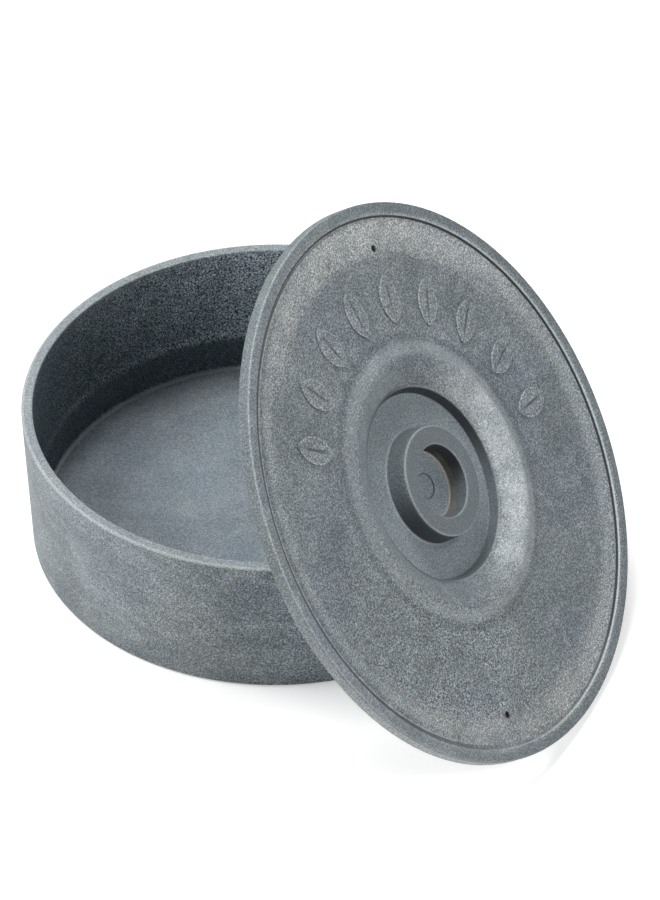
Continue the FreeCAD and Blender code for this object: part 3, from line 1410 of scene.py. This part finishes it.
    def lobe_zones(self) -> tuple[Zone, ...]:
        """Lay out the chalky lobes at the field's border.

        Returns:
            Their zones.
        """
        core, crease, step = -self.core_drop, self.crease_radius, self.step_radius
        return (
            # Painted light: the border ring paler on its far side, where its dished slope faces the light.
            Zone("painted light on the far side of the border", Band(crease + 0.0005, step, core),
                 (0.43, 0.47, 0.49), 0.52, softness=0.0028, angle=self.far_side + 25.0, fades_at=-0.6,
                 broken=0.25),
            # Paler towards the upper side: chalky patches that the plastic has, and painted light where the
            # field lies nearer the lamp above.
            Zone("chalky patches and painted light on the upper side", Band(crease - 0.006, step, core),
                 (0.52, 0.53, 0.52), 0.86, softness=0.003, angle=self.upper_side, fades_at=0.30,
                 broken=0.55),
            Zone("chalky lower lobe", Band(crease - 0.004, step, core),
                 (0.46, 0.455, 0.435), 0.55, softness=0.003, angle=self.lower_side, fades_at=0.3,
                 broken=0.6),
        )

    def channel_zones(self) -> tuple[Zone, ...]:
        """Lay out the near side of the channel between the crease and the step.

        Returns:
            Its zones.
        """
        core, crease, step = -self.core_drop, self.crease_radius, self.step_radius
        return (
            # Painted shade: the channel darker on its near side, where its slope faces away from the light.
            Zone("painted shade on the channel's near side", Band(crease + 0.0044, step + 0.0002, core, -0.0012),
                 (0.105, 0.125, 0.130), 0.50, softness=0.0009, angle=self.near_side, broken=0.3,
                 patch_size=0.004),
            # Painted light: a paler band at the crease on the near side, where the slope faces the light.
            Zone("painted light by the crease on the near side", Band(crease - 0.0008, crease + 0.0040, core, -0.0012),
                 (0.34, 0.375, 0.375), 0.50, softness=0.0010, angle=self.near_side, fades_at=-0.2,
                 broken=0.5, patch_size=0.008),
        )

    def bead_zones(self) -> tuple[Zone, ...]:
        """Lay out the raised bead and the funnel inside it.

        Returns:
            Their zones.
        """
        mouth, crest, outer = self.well_mouth_radius, self.bead_crest_radius, self.bead_outer_radius
        core, funnel_foot = -self.core_drop, -self.well_mouth_drop - 0.0004
        return (
            # Painted shade on the funnel's near slope, which faces away from the light.
            Zone("painted shade on the funnel's near slope", Band(mouth + 0.0006, crest + 0.0010, funnel_foot),
                 (0.170, 0.200, 0.208), 0.45, smoothness=0.35, softness=0.0015, angle=self.near_side,
                 fades_at=-0.3),
            # A paler ring just outside the bead's crest.
            Zone("pale ring outside the crest", Band(crest + 0.0018, outer - 0.0015, core),
                 (0.37, 0.40, 0.41), 0.42, smoothness=0.45, softness=0.0013, broken=0.35),
            # Paler on the funnel's far slope: chalky scuffs that the plastic has, and painted light where the
            # slope faces the lamps.
            Zone("chalky scuffs and painted light on the funnel's far slope", Band(mouth + 0.0004, crest + 0.0020, funnel_foot),
                 (0.62, 0.66, 0.68), 0.67, smoothness=0.5, softness=0.0018, angle=self.far_side - 6.0,
                 fades_at=0.03, broken=0.45, patch_size=0.010),
            # Painted shade on the bead's near side.
            Zone("painted shade on the bead's near side", Band(crest + 0.0018, outer, core),
                 (0.140, 0.165, 0.175), 0.42, softness=0.0013, angle=self.near_side, fades_at=0.1,
                 broken=0.3),
            # Painted shadow along the near foot of the funnel, at the well's mouth.
            Zone("painted shadow at the funnel's foot", Band(mouth - 0.0002, mouth + 0.0020, funnel_foot),
                 (0.085, 0.104, 0.114), 0.50, smoothness=0.3, softness=0.0010, angle=self.near_side,
                 fades_at=-0.2),
            Zone("shadow line round the bead", Band(outer - 0.0004, outer + 0.0026, core),
                 (0.110, 0.132, 0.142), 0.48, softness=0.0013),
        )

    def well_zones(self) -> tuple[Zone, ...]:
        """Lay out the round well and its mouth.

        Returns:
            Their zones.
        """
        mouth, lip = self.well_mouth_radius, -self.well_mouth_drop
        floor = -self.well_floor_drop
        wall = Band(self.well_floor_radius, mouth + BEYOND, floor + 0.0003, lip - 0.0004)
        return (
            Zone("smooth well and knob", Band(0.0, mouth, floor - 0.0011, -self.knob_top_drop + 0.0003),
                 (0.238, 0.280, 0.308), 0.65, smoothness=0.35),
            # Painted shade on the steep wall of the well.
            Zone("well wall", wall, (0.080, 0.096, 0.106), 0.75, smoothness=0.3, softness=0.0003),
            # Deeper painted shade on the well wall's upper side, which faces away from the light.
            Zone("deeper painted shade on the well wall's upper side", wall,
                 (0.010, 0.013, 0.016), 0.92, smoothness=0.3, softness=0.0003, angle=68.0, fades_at=-0.4),
            # Painted highlight along the far edge of the well's mouth.
            Zone("painted highlight on the mouth's far edge", Band(mouth - 0.0001, mouth + 0.0005, lip - 0.0008),
                 (0.46, 0.49, 0.50), 0.38, smoothness=0.3, softness=0.0003, angle=self.far_side,
                 fades_at=-0.5, broken=0.4),
            # Painted shadow: a thin dark line along the near edge of the well's mouth.
            Zone("painted shadow on the mouth's near edge", Band(mouth - 0.0004, mouth + 0.0010, lip - 0.0008),
                 (0.030, 0.038, 0.043), 0.84, smoothness=0.6, softness=0.0003, angle=self.near_side - 8.0,
                 fades_at=-0.3),
        )

    def knob_zones(self) -> tuple[Zone, ...]:
        """Lay out the ring knob, its bore and the floor round it.

        Returns:
            Their zones.
        """
        top, foot = self.knob_top_radius, self.knob_foot_radius
        bore, bore_floor = self.bore_mouth_radius, self.bore_floor_radius
        floor, level, gate = -self.well_floor_drop, -self.knob_top_drop, self.gate_mark_radius
        below, above = floor - 0.0011, floor + 0.0007
        knob_wall = Band(top, foot + BEYOND, floor + 0.0003, level - 0.0007)
        bore_wall = Band(bore_floor - 0.0002, bore + BEYOND, above, level - 0.0006)
        return (
            # Painted shade on the knob's steep outer wall.
            Zone("knob wall", knob_wall, (0.090, 0.106, 0.116), 0.70, smoothness=0.3, softness=0.0003),
            # Deeper painted shade on the knob wall's lower side, which faces away from the light.
            Zone("deeper painted shade on the knob wall's lower side", knob_wall,
                 (0.014, 0.019, 0.024), 0.82, smoothness=0.3, softness=0.0003, angle=-112.0, fades_at=-0.3),
            Zone("shaded floor below the knob", Band(foot - BEYOND, foot + 0.0024, below, above),
                 (0.060, 0.075, 0.085), 0.60, smoothness=0.3, softness=0.0012, angle=-85.0, fades_at=0.1),
            Zone("pale line at the knob's foot", Band(foot + 0.0002, foot + 0.0010, below, above),
                 (0.44, 0.48, 0.50), 0.35, smoothness=0.3, softness=0.0003, angle=self.near_side,
                 fades_at=-0.2),
            # Painted shade on the steep wall of the knob's bore.
            Zone("bore wall", bore_wall, (0.075, 0.088, 0.090), 0.75, smoothness=0.3, softness=0.0003),
            # Deeper painted shade on the bore wall's upper side, which faces away from the light.
            Zone("deeper painted shade on the bore wall's upper side", bore_wall,
                 (0.008, 0.010, 0.012), 0.93, smoothness=0.3, softness=0.0003, angle=56.0, fades_at=-0.3),
            Zone("brown stain low in the bore",
                 Band(bore_floor - 0.0002, bore + BEYOND, above, floor + 0.0031),
                 (0.190, 0.155, 0.118), 0.66, smoothness=0.3, softness=0.0009, angle=-50.0, fades_at=-0.2,
                 broken=0.35, patch_size=0.006),
            Zone("knob top", Band(bore, top, level - 0.0004),
                 (0.100, 0.121, 0.132), 0.78, smoothness=0.30, softness=0.0004),
            # Lighter along the knob's outer top edge.
            Zone("pale outer edge of the knob", Band(top - 0.0005, top + 0.0006, level - 0.0007),
                 (0.42, 0.45, 0.46), 0.36, smoothness=0.5, softness=0.0002),
            # Lighter along the bore's top edge.
            Zone("pale edge of the bore", Band(bore - 0.0004, bore + 0.0004, level - 0.0007),
                 (0.38, 0.41, 0.42), 0.30, smoothness=0.5, softness=0.0002),
            Zone("tan line at the bore's foot",
                 Band(bore_floor - 0.0006, bore + 0.0003, floor - 0.0001, floor + 0.0008),
                 (0.42, 0.34, 0.24), 0.55, smoothness=0.6, softness=0.0003, angle=-15.0, fades_at=-0.2,
                 broken=0.3),
            # Painted shade: a dark line in the small step round the gate mark.
            Zone("painted shade round the gate mark", Band(gate - 0.0001, gate + 0.0003, below, floor + 0.0019),
                 (0.030, 0.036, 0.040), 0.85, smoothness=0.5, softness=0.00012),
        )

    def lip_zones(self) -> tuple[Zone, ...]:
        """Lay out the lip and the outer wall.

        Returns:
            Their zones.
        """
        lip, edge, past = self.radius - self.lip_width, self.radius, self.radius + BEYOND
        wall_foot = -self.edge_depth - 0.0008
        return (
            Zone("far side of the lip", Band(lip - 0.0004, past, -0.0004),
                 (0.138, 0.163, 0.172), 0.60, smoothness=0.2, softness=0.0004, angle=self.far_side,
                 fades_at=-0.8),
            Zone("near side of the lip", Band(lip - 0.0010, past, -0.0006),
                 (0.31, 0.34, 0.34), 0.14, smoothness=0.2, softness=0.0004, angle=self.near_side,
                 fades_at=-0.4),
            # Painted shade: the lid's outer wall darkened all round.
            Zone("outer wall", Band(edge - 0.0002, past, wall_foot, -0.0006),
                 (0.120, 0.142, 0.144), 0.74, smoothness=0.2, softness=0.0003),
            Zone("pale lower side of the outer wall", Band(edge - 0.0004, past, wall_foot, -0.0012),
                 (0.46, 0.49, 0.49), 0.60, smoothness=0.2, softness=0.0003, angle=self.lower_side - 15.0,
                 fades_at=0.2),
            # Painted highlight along the lip's near edge.
            Zone("painted highlight on the lip's near edge", Band(edge - 0.0006, past, -0.0006),
                 (0.42, 0.45, 0.45), 0.22, smoothness=0.3, softness=0.0003, angle=self.near_side,
                 fades_at=-0.3),
        )

    def step_zones(self) -> tuple[Zone, ...]:
        """Lay out the step inside the lip.

        Returns:
            Its zones.
        """
        step, foot = self.step_radius, self.step_radius - self.step_draft
        return (
            # Painted shadow: a thin dark line under the lip's step.
            Zone("painted shadow line under the step", Band(foot - 0.0005, step + 0.0002, -0.0018, -0.0010),
                 (0.015, 0.019, 0.022), 0.96, smoothness=0.8, softness=0.00012,
                 angle=self.upper_side - 34.0, fades_at=-0.95),
            # Painted highlight along the step's far edge.
            Zone("painted highlight on the step's far edge", Band(foot + 0.0003, step + 0.0003, -0.0010),
                 (0.58, 0.62, 0.65), 0.66, smoothness=0.7, softness=0.00015, angle=self.far_side - 8.0,
                 fades_at=-0.3),
            # Painted shadow where the step meets the field on the near side.
            Zone("painted shadow at the step's near foot", Band(foot - 0.0017, step, -0.0022, -0.0012),
                 (0.020, 0.025, 0.028), 0.72, smoothness=0.6, softness=0.0002, angle=self.near_side,
                 fades_at=-0.2),
            Zone("pale line beside the step", Band(foot - 0.0025, foot - 0.0018, -0.0022, -0.0012),
                 (0.50, 0.53, 0.53), 0.38, smoothness=0.5, softness=0.0002, angle=self.near_side,
                 fades_at=-0.1, broken=0.3),
        )

    def vent_shadows(self) -> tuple[PoreAndShadow, ...]:
        """Darken the insides of the vents.

        Returns:
            A spot of painted shade for each vent.
        """
        shadows = []
        for angle in self.vent_angles:
            turn = math.radians(angle)
            x, y = self.vent_circle_radius * math.cos(turn), self.vent_circle_radius * math.sin(turn)
            place = (x, y, -self.field_drop - self.vent_radius)
            shadows.append(PoreAndShadow(place, self.vent_shadow_size * self.vent_radius))
        return tuple(shadows)

    def build(self) -> bpy.types.Object:
        """Build and dress the lid, in place of its CAD node.

        Returns:
            The lid.
        """
        mesh = bmesh.new()
        self.turning().add_to(mesh)
        piece = finish_mesh(mesh, "lid_body")
        cut(piece, self.cutters())
        self.add_leaves(piece)
        place = self.place()
        piece.data.transform(place)
        shade(piece)
        piece.data.materials.clear()
        piece.data.materials.append(self.finish().material(place))
        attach(piece, Body.LID.value)
        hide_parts("lid")
        return piece


# ------------------------------------------------------------------------------
# Studio
# ------------------------------------------------------------------------------


@dataclass(frozen=True)
class Lamp:
    """One soft square lamp, aimed at the object from a bearing and an elevation.

    The bearing is 0 from the object's +X side and grows anticlockwise seen from above. A level of 1 shows a
    white matte surface square to the lamp as white.
    """

    name: str
    bearing: float
    elevation: float
    level: float
    size: float
    distance: float = 1.6
    aim: Place = (0.03, 0.0, 0.05)

    def build(self) -> bpy.types.Object:
        """Hang the lamp.

        Returns:
            The lamp.
        """
        data = bpy.data.lights.new(self.name, "AREA")
        data.shape = "SQUARE"
        data.size = self.size
        data.energy = self.level * (math.pi * self.distance) ** 2
        lamp = bpy.data.objects.new(self.name, data)
        rise = math.radians(self.elevation)
        turn = math.radians(self.bearing)
        out = Vector((math.cos(turn) * math.cos(rise), math.sin(turn) * math.cos(rise), math.sin(rise)))
        lamp.location = Vector(self.aim) + out * self.distance
        lamp.rotation_euler = (-out).to_track_quat("-Z", "Y").to_euler()
        bpy.context.scene.collection.objects.link(lamp)
        return lamp


@dataclass(frozen=True)
class Studio:
    """Pale floor, soft lamps, plain world and the camera.

    The floor's lift is how far it is whitened where it is seen directly, from its value near the object up to
    full white.
    """

    lamps: tuple[Lamp, ...] = (
        Lamp("overhead_lamp", bearing=120.0, elevation=75.0, level=0.62, size=0.5),
        Lamp("left_lamp", bearing=180.0, elevation=50.0, level=0.75, size=0.6),
        Lamp("key_lamp", bearing=308.0, elevation=43.0, level=0.50, size=0.45),
        Lamp("low_front_lamp", bearing=238.0, elevation=10.0, level=0.26, size=0.6),
    )
    ambient: float = 0.05
    floor_size: float = 8.0
    floor_tone: Colour = (0.80, 0.80, 0.80)
    floor_roughness: float = 0.9
    floor_lift: float = 0.40
    floor_white_from: float = 0.6
    floor_white_to: float = 1.8
    aim: Place = (0.02238, 0.0, 0.03964)
    elevation: float = 40.302
    distance: float = 2.4913
    lens: float = 240.0
    nearest: float = 0.01
    farthest: float = 100.0

    def seen_directly(self, bench: Bench) -> Socket:
        """Tell apart the rays that show the background: from the camera, from gloss and through glass.

        Args:
            bench: the bench of the world or of the floor's material.

        Returns:
            The mask's socket, 1 for such rays and 0 for the others.
        """
        path = bench.add("ShaderNodeLightPath")
        seen = bench.math("MAXIMUM", path.outputs["Is Camera Ray"], path.outputs["Is Glossy Ray"])
        return bench.math("MAXIMUM", seen, path.outputs["Is Transmission Ray"])

    def build_world(self) -> None:
        """Light the scene evenly, and show white behind it."""
        world = bpy.data.worlds.new("studio")
        bpy.context.scene.world = world
        bench = Bench.of(world)
        background = bench.add("ShaderNodeBackground")
        bench.feed(background.inputs["Color"], WHITE)
        seen = self.seen_directly(bench)
        bench.feed(background.inputs["Strength"], bench.remap(seen, 0.0, 1.0, self.ambient, 1.0))
        output = bench.add("ShaderNodeOutputWorld")
        bench.feed(output.inputs["Surface"], background.outputs[0])

    def floor_material(self) -> bpy.types.Material:
        """Build the floor's material, which looks white where no shadow falls.

        Returns:
            The new material.
        """
        material = bpy.data.materials.new("studio_floor")
        bench = Bench.of(material)
        surface = bench.add("ShaderNodeBsdfPrincipled")
        bench.feed(surface.inputs["Base Color"], self.floor_tone)
        bench.feed(surface.inputs["Roughness"], self.floor_roughness)
        bench.feed(surface.inputs["Specular IOR Level"], 0.0)
        bench.feed(surface.inputs["Emission Color"], WHITE)
        away = bench.vector_math("LENGTH", bench.add("ShaderNodeTexCoord").outputs["Object"])
        lift = bench.remap(away, self.floor_white_from, self.floor_white_to, self.floor_lift, 1.0)
        lift = bench.math("MULTIPLY", self.seen_directly(bench), lift)
        bench.feed(surface.inputs["Emission Strength"], lift)
        output = bench.add("ShaderNodeOutputMaterial")
        bench.feed(output.inputs["Surface"], surface.outputs[0])
        return material

    def build_floor(self) -> bpy.types.Object:
        """Lay the floor.

        Returns:
            The floor.
        """
        mesh = bmesh.new()
        bmesh.ops.create_grid(mesh, x_segments=1, y_segments=1, size=self.floor_size / 2.0)
        floor = finish_mesh(mesh, "studio_floor")
        floor.data.materials.append(self.floor_material())
        return floor

    def build_camera(self) -> bpy.types.Object:
        """Set up the camera, level and square on to the scene's Y axis.

        Returns:
            The camera.
        """
        data = bpy.data.cameras.new("camera")
        data.lens = self.lens
        data.clip_start = self.nearest
        data.clip_end = self.farthest
        camera = bpy.data.objects.new("camera", data)
        rise = math.radians(self.elevation)
        back = Vector((0.0, -math.cos(rise), math.sin(rise)))
        camera.location = Vector(self.aim) + back * self.distance
        camera.rotation_euler = Euler((math.radians(90.0) - rise, 0.0, 0.0))
        bpy.context.scene.collection.objects.link(camera)
        bpy.context.scene.camera = camera
        return camera

    def build(self) -> None:
        """Build the whole studio."""
        bpy.context.scene.view_settings.view_transform = "Standard"
        self.build_world()
        self.build_floor()
        for lamp in self.lamps:
            lamp.build()
        self.build_camera()


def main() -> None:
    """Build the pieces and the studio, in order."""
    logging.basicConfig(level=logging.INFO, format="%(message)s")
    bowl = Bowl()
    for piece in (bowl.build(), Lid(bowl).build()):
        log.info("%s: %d faces", piece.name, len(piece.data.polygons))
    Studio().build()


if __name__ == "__main__":
    main()
